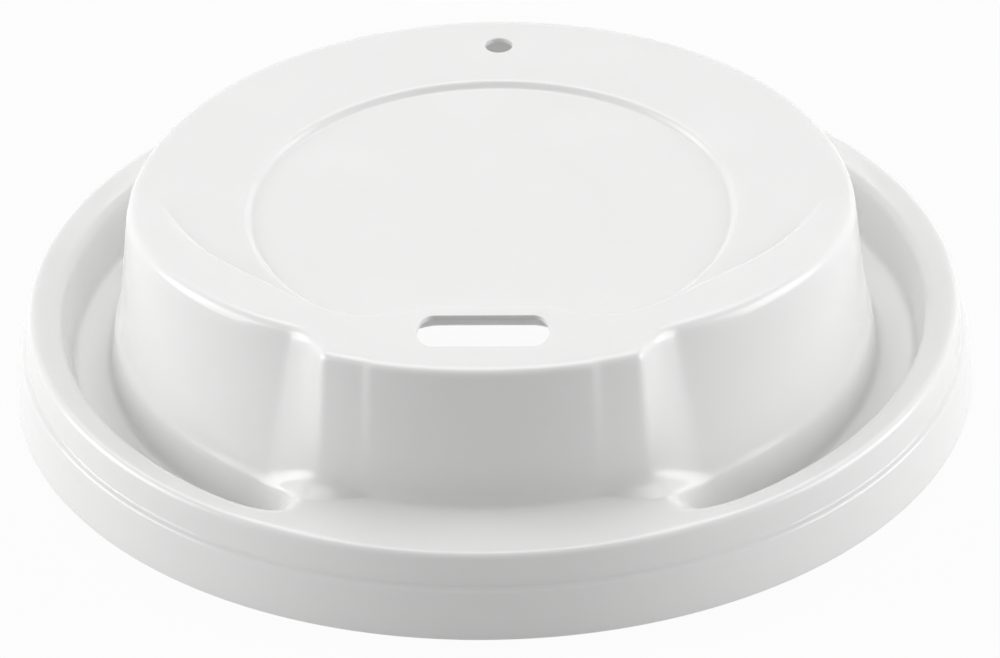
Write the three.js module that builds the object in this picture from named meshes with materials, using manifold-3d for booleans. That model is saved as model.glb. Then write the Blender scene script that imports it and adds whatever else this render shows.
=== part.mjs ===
// Takeaway coffee cup lid: one thermoformed plastic skin, in millimetres, +Z up.
// The origin is the centre of the open base edge, and the drinking slot is towards -Y.
//
// The skin is a loft: one cross-section, from the base edge over the rim, the channel and the
// dome to the centre, is swept round the axis while its corners move with the angle. That makes
// the spout, the cheeks beside it and the raised drinking lip out of a single sheet.

import * as THREE from 'three';
import { mergeVertices } from 'three/addons/utils/BufferGeometryUtils.js';
import Module from 'manifold-3d';

const wasm = await Module();
wasm.setup();

// Sheet
const WALL = 0.5;

// Skirt, which snaps over the rolled rim of the cup
const BASE_RADIUS = 46.5;
const BAND_HEIGHT = 5.1;
const BAND_DRAFT = 0.5;
const SNAP_STEP_IN = 0.45;
const SNAP_STEP_RISE = 0.5;
const SKIRT_DRAFT = 0.25;
const SKIRT_FILLET = 0.35;

// Crest, which covers the cup's rim
const CREST_HEIGHT = 8.9;
const CREST_WIDTH = 3.2;
const CREST_FILLET = 0.9;

// Channel between the crest and the dome, bridged over in front of the spout
const CHANNEL_DEPTH = 4.8;
const CHANNEL_WALL_RUN = 1.2;
const CHANNEL_FLOOR_WIDTH = 3.6;
const CHANNEL_FILLET = 0.7;
const CHANNEL_END_ANGLE = 26;
const CHANNEL_END_SPAN = 4;

// Dome
const DOME_FOOT_RADIUS = 36.8;
const DOME_SHOULDER_HEIGHT = 7.3;
const DOME_SHOULDER_IN = 0.45;
const DOME_SHOULDER_RISE = 0.9;
const DOME_TOP_RADIUS = 35.35;
const DOME_HEIGHT = 19.6;
const DOME_FILLET = 1.1;

// Spout: the stretch of wall in front of the slot, with a cheek drawn in on each side of it
const SPOUT_HALF_ANGLE = 26;
const SPOUT_SIDE_SPAN = 5.5;
const SPOUT_PANEL_HALF_ANGLE = 17.5;
const SPOUT_PANEL_STEP = 0.2;
const SPOUT_PANEL_SPAN = 1.6;
const CHEEK_DEPTH = 3.75;
const CHEEK_END_ANGLE = 92;
const CHEEK_CURVE = 1.3;

// Raised drinking lip: a tilted crescent that rises from the middle of the dome to the spout
const LIP_SLOPE = 0.11;
const LIP_INNER_RADIUS = 26.4;
const LIP_TIP_RADIUS = 33.5;
const LIP_TIP_ANGLE = 97;
const LIP_FLARE_ANGLE = 52;
const LIP_FLARE_CURVE = 1.35;
const LIP_WALL_RUN = 1.3;
const LIP_FILLET = 0.7;

// Drinking slot, with straight long sides and elliptical ends
const SLOT_LENGTH = 12.8;
const SLOT_WIDTH = 6.7;
const SLOT_END = 1.6;
const SLOT_FRONT_LAND = 5.3;
const SLOT_BACK_LAND = 2.3;
const SLOT_WRAP_START = 13;
const SLOT_WRAP_END = 32;

// Round recess in the top
const DISC_RADIUS = 23.9;
const DISC_DEPTH = 0.7;
const DISC_WALL_RUN = 1;
const DISC_FILLET = 0.4;
const DISC_LIP_GAP = 0.9;

// Vent hole, opposite the slot
const VENT_DIAMETER = 2.7;
const VENT_EDGE_DISTANCE = 4.9;

// How finely the skin is divided
const COLUMNS = 80;
const FRONT_CROWDING = 0.62;
const SOFT_CORNER_STEPS = 3;
const SMALL_CORNER_STEPS = 2;
const SLOT_STEPS = 8;
const VENT_STEPS = 24;

// A rounding takes at most this share of the side that it starts on
const ROUNDING_SHARE = 0.45;

// Half the height of the two punches, well past both faces of the sheet
const CUT_REACH = 5;

// Points nearer than this are one point
const MERGE_TOLERANCE = 1e-5;

const slotCentre = DOME_TOP_RADIUS - SLOT_FRONT_LAND - SLOT_WIDTH / 2;
const ventCentre = DOME_TOP_RADIUS - VENT_EDGE_DISTANCE;

// 0 up to the start, 1 from the end on, and a smooth S between them
function ease(value, start, end) {
  return THREE.MathUtils.smoothstep(value, start, end);
}

// Angle of a column, from the front round the axis. The sine draws columns towards the spout.
function columnAngle(index) {
  const turn = (2 * Math.PI * index) / COLUMNS;
  return turn - FRONT_CROWDING * Math.sin(turn);
}

// Degrees away from the front, the same to the left and to the right
function degreesFromFront(angle) {
  const wrapped = Math.atan2(Math.sin(angle), Math.cos(angle));
  return Math.abs(THREE.MathUtils.radToDeg(wrapped));
}

// 1 where the front land bridges the channel, 0 where the channel is open
function channelBridge(side) {
  return 1 - ease(side, CHANNEL_END_ANGLE, CHANNEL_END_ANGLE + CHANNEL_END_SPAN);
}

// How far the top of the wall is drawn in: a cheek starts at the spout and fades at the side
function cheekInset(side) {
  const deepest = SPOUT_HALF_ANGLE + SPOUT_SIDE_SPAN;
  const left = THREE.MathUtils.clamp((CHEEK_END_ANGLE - side) / (CHEEK_END_ANGLE - deepest), 0, 1);
  return CHEEK_DEPTH * Math.pow(left, CHEEK_CURVE) * ease(side, SPOUT_HALF_ANGLE, deepest);
}

// The middle panel of the spout stands a little proud of its two edges
function panelStep(side) {
  const end = SPOUT_PANEL_HALF_ANGLE + SPOUT_PANEL_SPAN;
  const within = 1 - ease(side, SPOUT_HALF_ANGLE, SPOUT_HALF_ANGLE + SPOUT_SIDE_SPAN);
  return SPOUT_PANEL_STEP * ease(side, SPOUT_PANEL_HALF_ANGLE, end) * within;
}

// Radius of the crease behind the raised lip: an arc that wraps in behind the slot at the
// front and flares out to the dome's edge at its two tips
function creaseRadius(angle, side) {
  const flare = THREE.MathUtils.clamp((side - LIP_FLARE_ANGLE) / (LIP_TIP_ANGLE - LIP_FLARE_ANGLE), 0, 1);
  const arc = LIP_INNER_RADIUS + (LIP_TIP_RADIUS - LIP_INNER_RADIUS) * Math.pow(flare, LIP_FLARE_CURVE);
  const wrap = ease(side, SLOT_WRAP_START, SLOT_WRAP_END);
  if (wrap === 1) return arc;
  const behindSlot = (slotCentre - SLOT_WIDTH / 2 - SLOT_BACK_LAND) / Math.cos(angle);
  return THREE.MathUtils.lerp(behindSlot, arc, wrap);
}

// Height of the top face at a radius: level at the back, rising along the lip's plane in front
function topHeight(radius, angle) {
  return DOME_HEIGHT + LIP_SLOPE * Math.max(0, radius * Math.cos(angle));
}

// The section's corners at one angle, from the base edge to the disc floor. A corner is its
// radius, its height, how far from it the rounding starts, and the points of its rounding.
function sectionCorners(angle) {
  const side = degreesFromFront(angle);
  const bridge = channelBridge(side);

  const bandTop = BASE_RADIUS - BAND_DRAFT;
  const stepTop = bandTop - SNAP_STEP_IN;
  const crestOuter = stepTop - SKIRT_DRAFT;
  const crestInner = crestOuter - CREST_WIDTH;
  const channelOuter = crestInner - CHANNEL_WALL_RUN;
  const channelInner = channelOuter - CHANNEL_FLOOR_WIDTH;
  const channelHeight = CREST_HEIGHT - CHANNEL_DEPTH * (1 - bridge);
  const shoulderHeight = THREE.MathUtils.lerp(DOME_SHOULDER_HEIGHT, CREST_HEIGHT, bridge);

  const topRadius = DOME_TOP_RADIUS - cheekInset(side) - panelStep(side);
  const crease = creaseRadius(angle, side);
  const lipFoot = crease - LIP_WALL_RUN;
  const discEdge = Math.min(DISC_RADIUS, lipFoot - DISC_LIP_GAP);
  const soft = SOFT_CORNER_STEPS;
  const small = SMALL_CORNER_STEPS;

  return [
    [BASE_RADIUS, 0, 0, 1],
    [bandTop, BAND_HEIGHT, SKIRT_FILLET, small],
    [stepTop, BAND_HEIGHT + SNAP_STEP_RISE, SKIRT_FILLET, small],
    [crestOuter, CREST_HEIGHT, CREST_FILLET, soft],
    [crestInner, CREST_HEIGHT, CREST_FILLET, soft],
    [channelOuter, channelHeight, CHANNEL_FILLET, small],
    [channelInner, channelHeight, CHANNEL_FILLET, small],
    [DOME_FOOT_RADIUS, shoulderHeight, DOME_SHOULDER_IN, small],
    [DOME_FOOT_RADIUS - DOME_SHOULDER_IN, shoulderHeight + DOME_SHOULDER_RISE, DOME_SHOULDER_IN, small],
    [topRadius, topHeight(topRadius, angle), DOME_FILLET, soft],
    [crease, topHeight(crease, angle), LIP_FILLET, small],
    [lipFoot, DOME_HEIGHT, LIP_FILLET, small],
    [discEdge, DOME_HEIGHT, DISC_FILLET, small],
    [discEdge - DISC_WALL_RUN, DOME_HEIGHT - DISC_DEPTH, DISC_FILLET, small],
  ];
}

// Rounds the corners of a section. Each corner becomes a short parabola that starts and ends on
// the straight sides, so every section has the same number of points.
function roundedSection(corners) {
  const points = corners.map(([radius, height]) => new THREE.Vector2(radius, height));
  points.push(new THREE.Vector2(0, points.at(-1).y));
  const section = [points[0]];
  for (let i = 1; i < corners.length; i++) {
    const before = points[i - 1].clone().sub(points[i]);
    const after = points[i + 1].clone().sub(points[i]);
    const [, , rounding, steps] = corners[i];
    const longest = ROUNDING_SHARE * Math.min(before.length(), after.length());
    const setback = Math.min(rounding, longest);
    const start = points[i].clone().add(before.setLength(setback));
    const end = points[i].clone().add(after.setLength(setback));
    const curve = new THREE.QuadraticBezierCurve(start, points[i], end);
    section.push(...curve.getPoints(steps - 1));
  }
  return section;
}

// Point of a section turned to its angle. Angle 0 is the front, -Y.
function placed(point, angle) {
  return new THREE.Vector3(point.x * Math.sin(angle), -point.x * Math.cos(angle), point.y);
}

// Outer face of the skin as rows of points, one row for each point of the section
function outerRows() {
  const columns = Array.from({ length: COLUMNS }, (_, index) => {
    const angle = columnAngle(index);
    return roundedSection(sectionCorners(angle)).map((point) => placed(point, angle));
  });
  return columns[0].map((_, row) => columns.map((column) => column[row]));
}

// The same rows, one wall thickness inside, measured square to the outer face
function innerRows(rows) {
  return rows.map((row, r) => row.map((point, c) => {
    const below = rows[Math.max(r - 1, 0)][c];
    const above = rows[Math.min(r + 1, rows.length - 1)][c];
    const left = row[(c + COLUMNS - 1) % COLUMNS];
    const right = row[(c + 1) % COLUMNS];
    const along = above.clone().sub(below);
    const around = right.clone().sub(left);
    const normal = around.cross(along).normalize();
    const inside = point.clone().addScaledVector(normal, -WALL);
    if (r === 0) inside.z = point.z;
    return inside;
  }));
}

// Closed skin: outer face, inner face, the ring at the base edge and a centre point on each face
function skinGeometry() {
  const outer = outerRows();
  const inner = innerRows(outer);
  const rows = [...outer, ...inner];
  const discHeight = DOME_HEIGHT - DISC_DEPTH;
  const positions = rows.flat().flatMap((point) => point.toArray());
  positions.push(0, 0, discHeight, 0, 0, discHeight - WALL);

  const outerCentre = rows.length * COLUMNS;
  const innerCentre = outerCentre + 1;
  const lastOuter = outer.length - 1;
  const lastInner = rows.length - 1;
  const at = (row, column) => row * COLUMNS + (column % COLUMNS);
  const faces = [];
  const band = (lower, upper, column) => {
    faces.push(at(lower, column), at(lower, column + 1), at(upper, column + 1));
    faces.push(at(lower, column), at(upper, column + 1), at(upper, column));
  };
  for (let column = 0; column < COLUMNS; column++) {
    for (let row = 0; row < lastOuter; row++) band(row, row + 1, column);
    for (let row = outer.length; row < lastInner; row++) band(row + 1, row, column);
    band(outer.length, 0, column);
    faces.push(at(lastOuter, column), at(lastOuter, column + 1), outerCentre);
    faces.push(at(lastInner, column + 1), at(lastInner, column), innerCentre);
  }
  const geometry = new THREE.BufferGeometry();
  geometry.setAttribute('position', new THREE.Float32BufferAttribute(positions, 3));
  geometry.setIndex(faces);
  return geometry;
}

// Upright prism in the drinking slot's outline
function slotCutter() {
  const straight = SLOT_LENGTH / 2 - SLOT_END;
  const half = SLOT_WIDTH / 2;
  const outline = new THREE.Shape();
  outline.moveTo(-straight, -half);
  outline.lineTo(straight, -half);
  outline.absellipse(straight, 0, SLOT_END, half, -Math.PI / 2, Math.PI / 2, false);
  outline.lineTo(-straight, half);
  outline.absellipse(-straight, 0, SLOT_END, half, Math.PI / 2, 1.5 * Math.PI, false);
  const geometry = new THREE.ExtrudeGeometry(outline, {
    depth: 2 * CUT_REACH,
    bevelEnabled: false,
    curveSegments: SLOT_STEPS,
  });
  const height = topHeight(slotCentre, 0) - CUT_REACH;
  return geometry.translate(0, -slotCentre, height);
}

// Upright cylinder for the vent hole
function ventCutter() {
  const radius = VENT_DIAMETER / 2;
  const geometry = new THREE.CylinderGeometry(radius, radius, 2 * CUT_REACH, VENT_STEPS);
  return geometry.rotateX(Math.PI / 2).translate(0, ventCentre, DOME_HEIGHT);
}

// Closed geometry as a solid that can be cut
function solid(geometry) {
  geometry.deleteAttribute('normal');
  geometry.deleteAttribute('uv');
  const merged = mergeVertices(geometry, MERGE_TOLERANCE);
  return new wasm.Manifold(new wasm.Mesh({
    numProp: 3,
    vertProperties: new Float32Array(merged.attributes.position.array),
    triVerts: new Uint32Array(merged.index.array),
  }));
}

// Solid back to a geometry, with flat shading normals
function geometryOf(body) {
  const mesh = body.getMesh();
  const geometry = new THREE.BufferGeometry();
  geometry.setAttribute('position', new THREE.Float32BufferAttribute(mesh.vertProperties, 3));
  geometry.setIndex(new THREE.Uint32BufferAttribute(mesh.triVerts, 1));
  geometry.computeVertexNormals();
  return geometry;
}

const skin = solid(skinGeometry())
  .subtract(solid(slotCutter()))
  .subtract(solid(ventCutter()));

const whitePlastic = new THREE.MeshStandardMaterial({
  name: 'white_plastic',
  color: 0xf3f3f1,
  roughness: 0.38,
  metalness: 0,
});

const sipLid = new THREE.Mesh(geometryOf(skin), whitePlastic);
sipLid.name = 'sip_lid';

const lid = new THREE.Group();
lid.name = 'coffee_cup_lid';
lid.add(sipLid);

export default lid;
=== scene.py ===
# %% [markdown]
# A takeaway cup lid is one sheet of white plastic. The sheet is heated, drawn over a mould and
# punched. The imported model already has its main shapes and sizes, so this scene starts from that
# frame and gives the same lid a finer skin, its satin finish and plain studio light.

# %% Load the frame and bake its placement into its meshes
import math

import bmesh
import bpy
import numpy as np
from mathutils import Matrix, Vector


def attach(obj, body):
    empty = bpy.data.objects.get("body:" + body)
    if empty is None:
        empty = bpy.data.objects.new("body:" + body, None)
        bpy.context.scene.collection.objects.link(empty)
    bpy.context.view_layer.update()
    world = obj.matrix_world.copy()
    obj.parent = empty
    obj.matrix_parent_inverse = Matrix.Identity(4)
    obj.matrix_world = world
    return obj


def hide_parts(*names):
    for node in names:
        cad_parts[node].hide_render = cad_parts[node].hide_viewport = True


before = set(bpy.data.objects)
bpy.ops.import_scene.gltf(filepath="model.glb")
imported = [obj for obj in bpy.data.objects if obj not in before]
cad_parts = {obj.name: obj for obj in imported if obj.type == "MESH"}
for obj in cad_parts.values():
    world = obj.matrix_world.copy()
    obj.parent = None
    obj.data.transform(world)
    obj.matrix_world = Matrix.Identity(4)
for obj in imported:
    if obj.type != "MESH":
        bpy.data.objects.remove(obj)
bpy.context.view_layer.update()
MM = 0.001

# %% [markdown]
# The lid is drawn as a section: a chain of corners that runs from the base edge over the crest,
# down into the channel, up the dome and in to the centre. These are the driving sizes, in
# millimetres and degrees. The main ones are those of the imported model. The band's knee, the snap
# step, the crest's slope, the channel's floor and ends, the cheeks and the roundings of the lip
# and the disc are finer here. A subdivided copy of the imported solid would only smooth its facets,
# and the crisp fillets would melt, so the skin is worked out anew.

# %% Driving sizes of the section
WALL = 0.5

BASE_RADIUS = 46.5
BAND_HEIGHT = 5.1
BAND_DRAFT = 0.5
BAND_KNEE_HEIGHT = 2.4
BAND_KNEE_IN = 0.06
BAND_KNEE_FILLET = 0.9
SNAP_STEP_IN = 0.55
SNAP_STEP_RISE = 0.3
SKIRT_DRAFT = 0.15
SKIRT_FILLET = 0.22

CREST_HEIGHT = 8.9
CREST_WIDTH = 3.2
CREST_FILLET = 0.9
CREST_SLOPE_DROP = 0.45

CHANNEL_DEPTH = 5.6
CHANNEL_WALL_RUN = 1.2
CHANNEL_FLOOR_WIDTH = 3.6
CHANNEL_FILLET = 0.7
CHANNEL_END_ANGLE = 26
CHANNEL_END_SPAN = 10
CHANNEL_PINCH_ANGLE = 39
CHANNEL_PINCH = 2.4
PINCH_FADE_SPAN = 9

DOME_FOOT_RADIUS = 36.8
DOME_SHOULDER_HEIGHT = 7.3
DOME_SHOULDER_IN = 0.45
DOME_SHOULDER_RISE = 0.9
DOME_SHOULDER_FILLET = 0.45
DOME_FOOT_FILLET = 2.5
DOME_TOP_RADIUS = 35.35
DOME_HEIGHT = 19.6
DOME_FILLET = 1.1

# %% Driving sizes of the spout, the lip and the holes
SPOUT_HALF_ANGLE = 26
SPOUT_SIDE_SPAN = 10
SPOUT_PANEL_HALF_ANGLE = 17.5
SPOUT_PANEL_STEP = 0.2
SPOUT_PANEL_SPAN = 1.6
CHEEK_DEPTH = 3.75
CHEEK_END_ANGLE = 92
CHEEK_CURVE = 1.3

LIP_SLOPE = 0.102
LIP_HINGE_BACK = 2.5
LIP_INNER_RADIUS = 26.4
LIP_TIP_RADIUS = 33.5
LIP_TIP_ANGLE = 97
LIP_FLARE_ANGLE = 52
LIP_FLARE_CURVE = 1.35
LIP_WALL_RUN = 0.8
LIP_FILLET = 0.32

SLOT_LENGTH = 12.8
SLOT_WIDTH = 6.7
SLOT_END = 1.6
SLOT_FRONT_LAND = 5.3
SLOT_BACK_LAND = 2.3
SLOT_WRAP_START = 13
SLOT_WRAP_END = 32
SLOT_CENTRE = DOME_TOP_RADIUS - SLOT_FRONT_LAND - SLOT_WIDTH / 2

DISC_RADIUS = 23.9
DISC_DEPTH = 0.6
DISC_WALL_RUN = 0.6
DISC_FILLET = 0.25
DISC_LIP_GAP = 0.9

VENT_DIAMETER = 2.7
VENT_EDGE_DISTANCE = 4.9
VENT_CENTRE = DOME_TOP_RADIUS - VENT_EDGE_DISTANCE

# %% [markdown]
# Everything that changes round the lid is a function of the angle from the front. The whole ring
# of angles is one numpy array, so each function below returns its value for all columns at once.
# The columns crowd together at the front, where the spout has its sharp corners, because an even
# spacing would spend most of its faces on the plain back.

# %% Angles round the lid
COLUMNS = 320
FRONT_CROWDING = 0.5

turn = np.linspace(0, 2 * np.pi, COLUMNS, endpoint=False)
angles = turn - FRONT_CROWDING * np.sin(turn)
side = np.abs(np.degrees(np.arctan2(np.sin(angles), np.cos(angles))))
print("degrees between columns, front and back:",
      round(float(np.degrees(angles[1])), 2),
      round(float(np.degrees(angles[COLUMNS // 2 + 1] - angles[COLUMNS // 2])), 2))


def ease(value, start, end):
    """0 up to start, 1 from end on, and 3t^2 - 2t^3 in between, with t the share of the way."""
    t = np.clip((value - start) / (end - start), 0, 1)
    return t * t * (3 - 2 * t)


# %% [markdown]
# Five shapes ride on the angle. The channel is bridged in front of the spout, and beside it the
# dome's foot spreads out, so that the channel runs out to a narrow end. The cheeks draw the top of
# the wall in beside the spout. The middle panel of the spout stands a hair proud of its edges,
# which shows as two fine upright lines. The crease behind the lip is an arc that wraps round the
# slot and flares out to the edge at its tips.

# %% Functions of the angle
def channel_bridge():
    """1 in front of the spout and 0 where the channel is open."""
    return 1 - ease(side, CHANNEL_END_ANGLE, CHANNEL_END_ANGLE + CHANNEL_END_SPAN)


def cheek_inset():
    """Depth times a power of the share of the way to the cheek's end. The spout's side face
    leaves the front at a sharp corner and settles into the cheek, as 1 - (1-t)^2."""
    deepest = SPOUT_HALF_ANGLE + SPOUT_SIDE_SPAN
    left = np.clip((CHEEK_END_ANGLE - side) / (CHEEK_END_ANGLE - deepest), 0, 1)
    t = np.clip((side - SPOUT_HALF_ANGLE) / SPOUT_SIDE_SPAN, 0, 1)
    return CHEEK_DEPTH * left ** CHEEK_CURVE * (1 - (1 - t) ** 2)


def channel_pinch():
    """How far the dome's foot spreads out to close the channel beside the spout: a square of the
    share of the way, which fades again where the front land takes over."""
    way = np.clip((CHANNEL_PINCH_ANGLE - side) / (CHANNEL_PINCH_ANGLE - CHANNEL_END_ANGLE), 0, 1)
    fade = ease(side, CHANNEL_END_ANGLE - PINCH_FADE_SPAN, CHANNEL_END_ANGLE)
    return CHANNEL_PINCH * way ** 2 * fade


def panel_step():
    """A step in at each edge of the spout's middle panel, which fades with the spout's side."""
    within = 1 - ease(side, SPOUT_HALF_ANGLE, SPOUT_HALF_ANGLE + SPOUT_SIDE_SPAN)
    end = SPOUT_PANEL_HALF_ANGLE + SPOUT_PANEL_SPAN
    return SPOUT_PANEL_STEP * ease(side, SPOUT_PANEL_HALF_ANGLE, end) * within


def crease_radius():
    """An arc of one radius, flared to the tips by a power and drawn straight behind the slot."""
    flare = np.clip((side - LIP_FLARE_ANGLE) / (LIP_TIP_ANGLE - LIP_FLARE_ANGLE), 0, 1)
    arc = LIP_INNER_RADIUS + (LIP_TIP_RADIUS - LIP_INNER_RADIUS) * flare ** LIP_FLARE_CURVE
    wrap = ease(side, SLOT_WRAP_START, SLOT_WRAP_END)
    cosine = np.maximum(np.cos(angles), math.cos(math.radians(SLOT_WRAP_END)))
    behind_slot = (SLOT_CENTRE - SLOT_WIDTH / 2 - SLOT_BACK_LAND) / cosine
    return behind_slot + (arc - behind_slot) * wrap


def top_height(radius):
    """The dome's height, plus the lip's slope times the distance in front of its hinge line."""
    return DOME_HEIGHT + LIP_SLOPE * np.maximum(0, radius * np.cos(angles) + LIP_HINGE_BACK)


# %% [markdown]
# The section itself is a list of corners. Each corner is a radius, a height and the distance at
# which its rounding starts. Each rounding is a short parabola with its ends on the straight
# sides, so a section always has the same number of rows, whatever its angle, and the rows join
# into a clean grid. Where a side gets short, its roundings shrink to a share of it. Bevelling a
# finished mesh could not follow corners that fade to nothing.

# %% The section's corners and their rounding
CORNER_ROWS = 6
ROUNDING_SHARE = 0.45
INNER_SOFTNESS = 1.6


def section_corners(softness=1.0):
    """Rows of radius, height and rounding for every column, from the base edge to the disc."""
    ring = np.ones(COLUMNS)
    bridge = channel_bridge()
    band_top = BASE_RADIUS - BAND_DRAFT
    step_top = band_top - SNAP_STEP_IN
    crest_outer = step_top - SKIRT_DRAFT
    crest_inner = crest_outer - CREST_WIDTH
    channel_outer = crest_inner - CHANNEL_WALL_RUN
    pinch = channel_pinch()
    channel_inner = channel_outer - CHANNEL_FLOOR_WIDTH + pinch
    channel_height = CREST_HEIGHT - CHANNEL_DEPTH * (1 - bridge)
    shoulder_height = DOME_SHOULDER_HEIGHT + (CREST_HEIGHT - DOME_SHOULDER_HEIGHT) * bridge

    top_radius = DOME_TOP_RADIUS - cheek_inset() - panel_step()
    crease = crease_radius()
    lip_foot = crease - LIP_WALL_RUN
    disc_edge = np.minimum(DISC_RADIUS, lip_foot - DISC_LIP_GAP)

    corners = [
        (BASE_RADIUS, 0, 0),
        (BASE_RADIUS - BAND_KNEE_IN, BAND_KNEE_HEIGHT, BAND_KNEE_FILLET),
        (band_top, BAND_HEIGHT, SKIRT_FILLET),
        (step_top, BAND_HEIGHT + SNAP_STEP_RISE, SKIRT_FILLET),
        (crest_outer, CREST_HEIGHT, CREST_FILLET),
        (crest_inner, CREST_HEIGHT - CREST_SLOPE_DROP * (1 - bridge), CREST_FILLET),
        (channel_outer, channel_height, CHANNEL_FILLET),
        (channel_inner, channel_height, CHANNEL_FILLET),
        (DOME_FOOT_RADIUS + pinch, shoulder_height, DOME_SHOULDER_FILLET),
        (DOME_FOOT_RADIUS - DOME_SHOULDER_IN, shoulder_height + DOME_SHOULDER_RISE,
         DOME_FOOT_FILLET),
        (top_radius, top_height(top_radius), DOME_FILLET),
        (crease, top_height(crease), LIP_FILLET),
        (lip_foot, DOME_HEIGHT, LIP_FILLET),
        (disc_edge, DOME_HEIGHT, DISC_FILLET),
        (disc_edge - DISC_WALL_RUN, DOME_HEIGHT - DISC_DEPTH, DISC_FILLET),
    ]
    rows = [(r * ring, z * ring, rounding * softness * ring) for r, z, rounding in corners]
    rows.append((0 * ring, (DOME_HEIGHT - DISC_DEPTH) * ring, 0 * ring))
    return np.array(rows)


def rounded_section(corners, straight_rows):
    """Rows of (radius, height). At a corner P with ends A and B on its two sides, the rounding is
    (1-t)^2 A + 2t(1-t) P + t^2 B. Between two roundings the rows are evenly spaced."""
    points, rounding = corners[:, :2], corners[:, 2]
    t = np.linspace(0, 1, CORNER_ROWS)[:, None, None]
    rows = [points[0][None]]
    for i in range(1, len(points) - 1):
        before, after = points[i - 1] - points[i], points[i + 1] - points[i]
        length_before = np.linalg.norm(before, axis=0)
        length_after = np.linalg.norm(after, axis=0)
        shorter = np.minimum(length_before, length_after)
        setback = np.minimum(rounding[i], ROUNDING_SHARE * shorter)
        start = points[i] + before * (setback / length_before)
        end = points[i] + after * (setback / length_after)
        share = np.linspace(0, 1, straight_rows[i - 1] + 2)[1:-1, None, None]
        rows.append(rows[-1][-1] * (1 - share) + start * share)
        rows.append((1 - t) ** 2 * start + 2 * t * (1 - t) * points[i] + t ** 2 * end)
    return np.concatenate(rows)


STRAIGHT_ROWS = [1, 1, 0, 2, 1, 2, 1, 1, 0, 14, 5, 1, 3, 1, 6]
outer_section = rounded_section(section_corners(), STRAIGHT_ROWS)
inner_section = rounded_section(section_corners(INNER_SOFTNESS), STRAIGHT_ROWS)
print("rows in a section:", len(outer_section))

# %% [markdown]
# Turning each section to its angle gives the outer face as a grid. The inner face lies one wall
# inside, square to the sheet. It is measured from a section with softer corners, because a sheet
# that is pulled over a corner has a softer inside, and because a sharp one would fold over.

# %% The two faces of the sheet
def turned(section):
    """Grid of points: x = r sin a, y = -r cos a, z = height."""
    radius, height = section[:, 0], section[:, 1]
    return np.stack([radius * np.sin(angles), -radius * np.cos(angles), height], axis=-1)


def face_normals(grid):
    """Unit cross product of the step round the lid and the step along the section."""
    around = np.roll(grid, -1, axis=1) - np.roll(grid, 1, axis=1)
    along = np.gradient(grid, axis=0)
    normal = np.cross(around, along)
    return normal / np.linalg.norm(normal, axis=-1, keepdims=True)


outer_face = turned(outer_section)
soft_face = turned(inner_section)
inner_face = soft_face - WALL * face_normals(soft_face)
inner_face[0, :, 2] = 0
print("wall at the disc, in mm:", round(float((outer_face - inner_face)[-1, 0, 2]), 3))


# %% [markdown]
# The two faces are joined into one closed skin: a ring of faces at the base edge, and a fan at the
# centre of each face. The index arrays are worked out whole, then handed to Blender in one go.

# %% One closed skin
def grid_quads(lower, upper):
    """Quads between two rows of point numbers, wound so that they face the sheet's outside."""
    return np.stack([lower, np.roll(lower, -1), np.roll(upper, -1), upper], axis=-1)


def closed_skin(outer, inner, name):
    """Outer rows, inner rows and two centres, as a mesh in metres."""
    count = outer.shape[0]
    numbers = np.arange(2 * count * COLUMNS).reshape(2, count, COLUMNS)
    quads = [grid_quads(numbers[0, r], numbers[0, r + 1]) for r in range(count - 1)]
    quads += [grid_quads(numbers[1, r + 1], numbers[1, r]) for r in range(count - 1)]
    quads.append(grid_quads(numbers[1, 0], numbers[0, 0]))
    centre_height = DOME_HEIGHT - DISC_DEPTH
    centres = np.array([[0, 0, centre_height], [0, 0, centre_height - WALL]])
    points = np.concatenate([outer.reshape(-1, 3), inner.reshape(-1, 3), centres]) * MM
    top, under = 2 * count * COLUMNS, 2 * count * COLUMNS + 1
    last_outer, last_inner = numbers[0, -1], numbers[1, -1]
    fan = np.stack([last_outer, np.roll(last_outer, -1), np.full(COLUMNS, top)], axis=-1)
    under_fan = np.stack([np.roll(last_inner, -1), last_inner, np.full(COLUMNS, under)], axis=-1)
    faces = np.concatenate(quads).tolist() + fan.tolist() + under_fan.tolist()
    mesh = bpy.data.meshes.new(name)
    mesh.from_pydata(points.tolist(), [], faces)
    mesh.validate()
    piece = bpy.data.objects.new(name, mesh)
    bpy.context.collection.objects.link(piece)
    return piece


lid_skin = closed_skin(outer_face, inner_face, "lid_skin")
print("faces in the uncut skin:", len(lid_skin.data.polygons))


# %% [markdown]
# A punch cuts the slot and the vent hole through the formed sheet, square to the base, and leaves
# a clean edge. Each punch is an upright prism, subtracted by a Boolean modifier that is applied.

# %% Punch the slot and the vent hole
SLOT_END_POINTS = 24
VENT_POINTS = 64
PUNCH_REACH = 6


def slot_outline():
    """Two half ellipses, one at each end of the straight long sides."""
    t = np.linspace(-np.pi / 2, np.pi / 2, SLOT_END_POINTS)
    x = SLOT_LENGTH / 2 - SLOT_END + SLOT_END * np.cos(t)
    y = SLOT_WIDTH / 2 * np.sin(t)
    return np.stack([np.concatenate([x, -x]), np.concatenate([y, -y]) - SLOT_CENTRE], axis=-1)


def vent_outline():
    """A circle round the vent's centre."""
    t = np.linspace(0, 2 * np.pi, VENT_POINTS, endpoint=False)
    return np.stack([np.cos(t), np.sin(t)], axis=-1) * VENT_DIAMETER / 2 + [0, VENT_CENTRE]


def prism(outline, name):
    """The outline at two heights, its side quads, and one face at each end."""
    count = len(outline)
    low, high = DOME_HEIGHT - PUNCH_REACH, DOME_HEIGHT + PUNCH_REACH
    ends = [np.column_stack([outline, np.full(count, z)]) for z in (low, high)]
    below = np.arange(count)
    sides = grid_quads(below, below + count).tolist()
    caps = [below[::-1].tolist(), (below + count).tolist()]
    mesh = bpy.data.meshes.new(name)
    mesh.from_pydata((np.concatenate(ends) * MM).tolist(), [], sides + caps)
    punch = bpy.data.objects.new(name, mesh)
    bpy.context.collection.objects.link(punch)
    return punch


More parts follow.
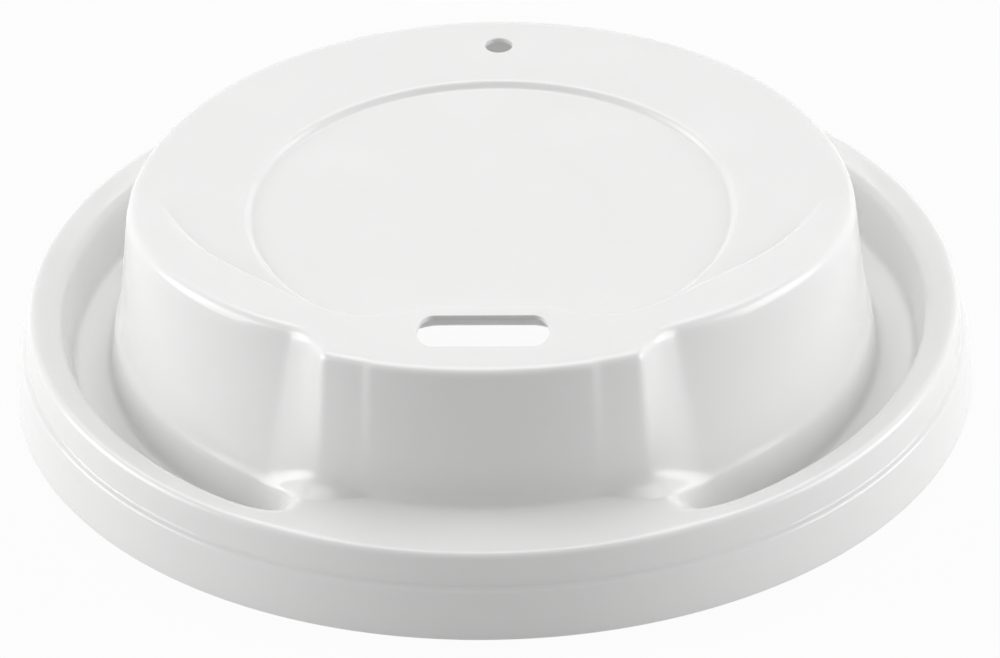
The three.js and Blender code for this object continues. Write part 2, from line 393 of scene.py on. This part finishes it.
def punched(piece, punch):
    """Applies a Boolean difference to the piece and deletes the punch."""
    cut = piece.modifiers.new("punch", "BOOLEAN")
    cut.operation, cut.solver, cut.object = "DIFFERENCE", "EXACT", punch
    with bpy.context.temp_override(object=piece, active_object=piece):
        bpy.ops.object.modifier_apply(modifier=cut.name)
    bpy.data.objects.remove(punch)


punched(lid_skin, prism(slot_outline(), "slot_punch"))
punched(lid_skin, prism(vent_outline(), "vent_punch"))
print("faces after punching:", len(lid_skin.data.polygons))

# %% [markdown]
# The sheet is smooth, and only the punched edges and the base edge are sharp. Marking edges by
# their angle keeps both, where flat shading would show the grid and plain smooth shading would
# smear the light round the slot.

# %% Shade the sheet
SHARP_ANGLE = 40

lid_skin.data.shade_smooth()
lid_skin.data.set_sharp_from_angle(angle=math.radians(SHARP_ANGLE))
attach(lid_skin, "root")
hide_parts("sip_lid")

check = bmesh.new()
check.from_mesh(lid_skin.data)
open_edges = sum(1 for edge in check.edges if not edge.is_manifold)
volume = check.calc_volume(signed=True) / MM ** 3
print("open edges:", open_edges, " volume in cubic mm:", round(volume, 1))
check.free()

# %% [markdown]
# White polystyrene sheet is never one flat tone. It is a little uneven where it was drawn, its
# surface has long faint waves from the mould, and stacking leaves fine rubbed patches. Each of
# these is a small node group, so that its strength can be set by name in the material.


# %% Shader groups for formed sheet
TONE_DETAIL, WAVE_DETAIL, GRAIN_DETAIL, PATCH_DETAIL = 1, 1, 1, 2
PATCH_LOW, PATCH_HIGH = 0.35, 0.65


def new_group(name, inputs, outputs):
    """A shader node group with the named sockets, and its two end nodes."""
    group = bpy.data.node_groups.new(name, "ShaderNodeTree")
    for label, kind, default in inputs:
        socket = group.interface.new_socket(label, in_out="INPUT", socket_type=kind)
        if default is not None:
            socket.default_value = default
    for label, kind in outputs:
        group.interface.new_socket(label, in_out="OUTPUT", socket_type=kind)
    return group, group.nodes.new("NodeGroupInput"), group.nodes.new("NodeGroupOutput")


def noise(group, vector, scale, detail):
    """A noise texture on a vector, with its scale from a socket."""
    node = group.nodes.new("ShaderNodeTexNoise")
    group.links.new(vector, node.inputs["Vector"])
    group.links.new(scale, node.inputs["Scale"])
    node.inputs["Detail"].default_value = detail
    return node.outputs["Fac"]


def sheet_tone_group():
    """Mixes two close whites by a slow noise."""
    group, start, end = new_group(
        "sheet_tone",
        [("Vector", "NodeSocketVector", None), ("Scale", "NodeSocketFloat", 60.0),
         ("Tone", "NodeSocketColor", (0.88, 0.88, 0.875, 1)),
         ("Drawn Tone", "NodeSocketColor", (0.85, 0.85, 0.845, 1))],
        [("Color", "NodeSocketColor")])
    mix = group.nodes.new("ShaderNodeMix")
    mix.data_type = "RGBA"
    slow = noise(group, start.outputs["Vector"], start.outputs["Scale"], TONE_DETAIL)
    group.links.new(slow, mix.inputs["Factor"])
    group.links.new(start.outputs["Tone"], mix.inputs["A"])
    group.links.new(start.outputs["Drawn Tone"], mix.inputs["B"])
    group.links.new(mix.outputs["Result"], end.inputs["Color"])
    return group


# %% Groups for the surface itself
def forming_waves_group():
    """Height: long faint waves from the mould plus a fine grain from the sheet."""
    group, start, end = new_group(
        "forming_waves",
        [("Vector", "NodeSocketVector", None), ("Wave Scale", "NodeSocketFloat", 90.0),
         ("Grain Scale", "NodeSocketFloat", 2500.0), ("Grain", "NodeSocketFloat", 0.04)],
        [("Height", "NodeSocketFloat")])
    waves = noise(group, start.outputs["Vector"], start.outputs["Wave Scale"], WAVE_DETAIL)
    grain = noise(group, start.outputs["Vector"], start.outputs["Grain Scale"], GRAIN_DETAIL)
    total = group.nodes.new("ShaderNodeMath")
    total.operation = "MULTIPLY_ADD"
    group.links.new(grain, total.inputs[0])
    group.links.new(start.outputs["Grain"], total.inputs[1])
    group.links.new(waves, total.inputs[2])
    group.links.new(total.outputs[0], end.inputs["Height"])
    return group


def rubbed_patches_group():
    """Roughness: a noise stretched round the lid, ramped between two values."""
    group, start, end = new_group(
        "rubbed_patches",
        [("Vector", "NodeSocketVector", None), ("Scale", "NodeSocketFloat", 160.0),
         ("Smooth", "NodeSocketFloat", 0.3), ("Rubbed", "NodeSocketFloat", 0.42)],
        [("Roughness", "NodeSocketFloat")])
    patches = noise(group, start.outputs["Vector"], start.outputs["Scale"], PATCH_DETAIL)
    spread = group.nodes.new("ShaderNodeMapRange")
    spread.inputs["From Min"].default_value = PATCH_LOW
    spread.inputs["From Max"].default_value = PATCH_HIGH
    group.links.new(patches, spread.inputs["Value"])
    group.links.new(start.outputs["Smooth"], spread.inputs["To Min"])
    group.links.new(start.outputs["Rubbed"], spread.inputs["To Max"])
    group.links.new(spread.outputs["Result"], end.inputs["Roughness"])
    return group


# %% [markdown]
# The material places the three groups on object coordinates, so the pattern stays on the plastic
# whatever the view. The sheen is a plain satin one. Part of the light enters the thin sheet and
# scatters there, which softens the shading and lets a little light through to the inside.

# %% White formed plastic
def place(material, group, vector, **values):
    """One node of a group in a material, fed with a vector and its own values."""
    node = material.node_tree.nodes.new("ShaderNodeGroup")
    node.node_tree = group
    material.node_tree.links.new(vector, node.inputs["Vector"])
    for label, value in values.items():
        node.inputs[label.replace("_", " ")].default_value = value
    return node


TONE_SCALE = 45.0
WAVE_SCALE = 70.0
WAVE_STRENGTH = 0.12
WAVE_DEPTH = 0.0002
SMOOTH_ROUGHNESS, RUBBED_ROUGHNESS = 0.17, 0.27
PLASTIC_IOR = 1.5
SCATTER_SHARE = 0.4
SCATTER_REACH = 0.0009

white_plastic = bpy.data.materials.new("white_formed_plastic")
white_plastic.use_nodes = True
links = white_plastic.node_tree.links
shader = white_plastic.node_tree.nodes["Principled BSDF"]
coordinates = white_plastic.node_tree.nodes.new("ShaderNodeTexCoord").outputs["Object"]
tone = place(white_plastic, sheet_tone_group(), coordinates, Scale=TONE_SCALE)
rubbed = place(white_plastic, rubbed_patches_group(), coordinates,
               Smooth=SMOOTH_ROUGHNESS, Rubbed=RUBBED_ROUGHNESS)
waves = place(white_plastic, forming_waves_group(), coordinates, Wave_Scale=WAVE_SCALE)
bump = white_plastic.node_tree.nodes.new("ShaderNodeBump")
bump.inputs["Strength"].default_value = WAVE_STRENGTH
bump.inputs["Distance"].default_value = WAVE_DEPTH
links.new(waves.outputs["Height"], bump.inputs["Height"])
links.new(bump.outputs["Normal"], shader.inputs["Normal"])
links.new(tone.outputs["Color"], shader.inputs["Base Color"])
links.new(rubbed.outputs["Roughness"], shader.inputs["Roughness"])
shader.inputs["IOR"].default_value = PLASTIC_IOR
shader.inputs["Subsurface Weight"].default_value = SCATTER_SHARE
shader.inputs["Subsurface Radius"].default_value = (1, 1, 1)
shader.inputs["Subsurface Scale"].default_value = SCATTER_REACH
lid_skin.data.materials.clear()
lid_skin.data.materials.append(white_plastic)
print("material:", white_plastic.name)

# %% [markdown]
# The lid stands on a plain white table under a white sky. The camera and reflections see the
# table as an almost even glow, and its small matt share keeps a faint soft shadow. For the light
# that falls on the lid it is mostly matt, and its lesser glow lights the skirt and the inside.

# %% Table and surroundings
TABLE_HALF = 3.0
TABLE_GLOW = 0.95
TABLE_BOUNCE = 0.35
TABLE_TONE = 0.55
TABLE_ROUGHNESS = 0.9
TABLE_SHEEN = 0.1
SKY_GLOW = 1.0
SKY_LEVEL = 0.26


def seen_level(tree, light_level, seen_as):
    """A level for the light that falls on the lid, and one for how the eye sees the source.

    The eye's rays are the camera, glossy and transmission ones.
    """
    path = tree.nodes.new("ShaderNodeLightPath")
    largest = path.outputs["Is Camera Ray"]
    for label in ("Is Glossy Ray", "Is Transmission Ray"):
        pick = tree.nodes.new("ShaderNodeMath")
        pick.operation = "MAXIMUM"
        tree.links.new(largest, pick.inputs[0])
        tree.links.new(path.outputs[label], pick.inputs[1])
        largest = pick.outputs[0]
    level = tree.nodes.new("ShaderNodeMapRange")
    level.inputs["To Min"].default_value = light_level
    level.inputs["To Max"].default_value = seen_as
    tree.links.new(largest, level.inputs["Value"])
    return level.outputs["Result"]


corner_signs = ((-1, -1), (1, -1), (1, 1), (-1, 1))
table_mesh = bpy.data.meshes.new("table_top")
table_mesh.from_pydata([(x * TABLE_HALF, y * TABLE_HALF, 0) for x, y in corner_signs],
                       [], [(0, 1, 2, 3)])
table_top = bpy.data.objects.new("table_top", table_mesh)
bpy.context.collection.objects.link(table_top)

table_white = bpy.data.materials.new("table_white")
table_white.use_nodes = True
tree = table_white.node_tree
matt = tree.nodes["Principled BSDF"]
matt.inputs["Base Color"].default_value = (TABLE_TONE, TABLE_TONE, TABLE_TONE, 1)
matt.inputs["Roughness"].default_value = TABLE_ROUGHNESS
matt.inputs["Specular IOR Level"].default_value = TABLE_SHEEN
glow = tree.nodes.new("ShaderNodeEmission")
blend = tree.nodes.new("ShaderNodeMixShader")
tree.links.new(seen_level(tree, TABLE_BOUNCE, TABLE_GLOW), blend.inputs["Fac"])
tree.links.new(matt.outputs["BSDF"], blend.inputs[1])
tree.links.new(glow.outputs["Emission"], blend.inputs[2])
tree.links.new(blend.outputs["Shader"], tree.nodes["Material Output"].inputs["Surface"])
table_mesh.materials.append(table_white)

world = bpy.data.worlds.new("studio")
bpy.context.scene.world = world
world.use_nodes = True
tree = world.node_tree
tree.links.new(seen_level(tree, SKY_LEVEL, SKY_GLOW), tree.nodes["Background"].inputs["Strength"])
tree.nodes["Background"].inputs["Color"].default_value = (1, 1, 1, 1)

# %% [markdown]
# Large soft lamps stand to the left, to the right and behind, and none in front. So the dome's
# sides are bright and the spout's front face is the darkest wall, as white packs are often lit.


# %% Soft lamps
AIM_HEIGHT = 0.01


def soft_lamp(name, place_at, size, watts):
    """A square area lamp that looks at the middle of the lid."""
    data = bpy.data.lights.new(name, "AREA")
    data.size, data.energy = size, watts
    lamp = bpy.data.objects.new(name, data)
    lamp.location = place_at
    aim = Vector((0, 0, AIM_HEIGHT)) - lamp.location
    lamp.rotation_euler = aim.to_track_quat("-Z", "Y").to_euler()
    lamp.visible_camera = False
    bpy.context.collection.objects.link(lamp)


soft_lamp("left_window", place_at=(-0.9, 0.05, 0.25), size=0.7, watts=6.6)
soft_lamp("right_window", place_at=(0.9, 0.07, 0.27), size=0.7, watts=6.2)
soft_lamp("back_softbox", place_at=(0.0, 0.5, 1.0), size=0.9, watts=5.9)

# %% [markdown]
# The picture is close to a parallel view, so the camera stands far off with a long lens. It
# looks down by 32 degrees and is rolled a little, with the left side lower. White plastic passes
# light on many times over, so the bounces are capped, which keeps rendering short.

# %% Camera
CAMERA_DISTANCE = 2.7
FAR_CLIP = 20
SENSOR_WIDTH = 36
MAX_BOUNCES = 6
DIFFUSE_BOUNCES = 3
PIXELS_PER_MM = 10.27
IMAGE_SIZE = (1000, 658)
BASE_CENTRE_PIXEL = (495.0, 380.8)
AZIMUTH, ELEVATION, ROLL = (math.radians(degrees) for degrees in (2.2, 32.2, 1.4))

back = Vector((math.sin(AZIMUTH) * math.cos(ELEVATION), -math.cos(AZIMUTH) * math.cos(ELEVATION),
               math.sin(ELEVATION)))
level_right = Vector((math.cos(AZIMUTH), math.sin(AZIMUTH), 0))
level_up = back.cross(level_right)
right = level_right * math.cos(ROLL) - level_up * math.sin(ROLL)
up = level_right * math.sin(ROLL) + level_up * math.cos(ROLL)
across = (IMAGE_SIZE[0] / 2 - BASE_CENTRE_PIXEL[0]) / PIXELS_PER_MM * MM
above = (BASE_CENTRE_PIXEL[1] - IMAGE_SIZE[1] / 2) / PIXELS_PER_MM * MM
target = right * across + up * above

camera_data = bpy.data.cameras.new("camera")
camera_data.sensor_width = SENSOR_WIDTH
camera_data.lens = SENSOR_WIDTH * CAMERA_DISTANCE / (IMAGE_SIZE[0] / PIXELS_PER_MM * MM)
camera_data.clip_end = FAR_CLIP
camera = bpy.data.objects.new("camera", camera_data)
camera.matrix_world = Matrix.Translation(target + back * CAMERA_DISTANCE) @ Matrix(
    (right, up, back)).transposed().to_4x4()
bpy.context.collection.objects.link(camera)
bpy.context.scene.camera = camera
bpy.context.scene.view_settings.view_transform = "Standard"
bpy.context.scene.cycles.max_bounces = MAX_BOUNCES
bpy.context.scene.cycles.diffuse_bounces = DIFFUSE_BOUNCES
print("lens in mm:", round(camera_data.lens, 1))
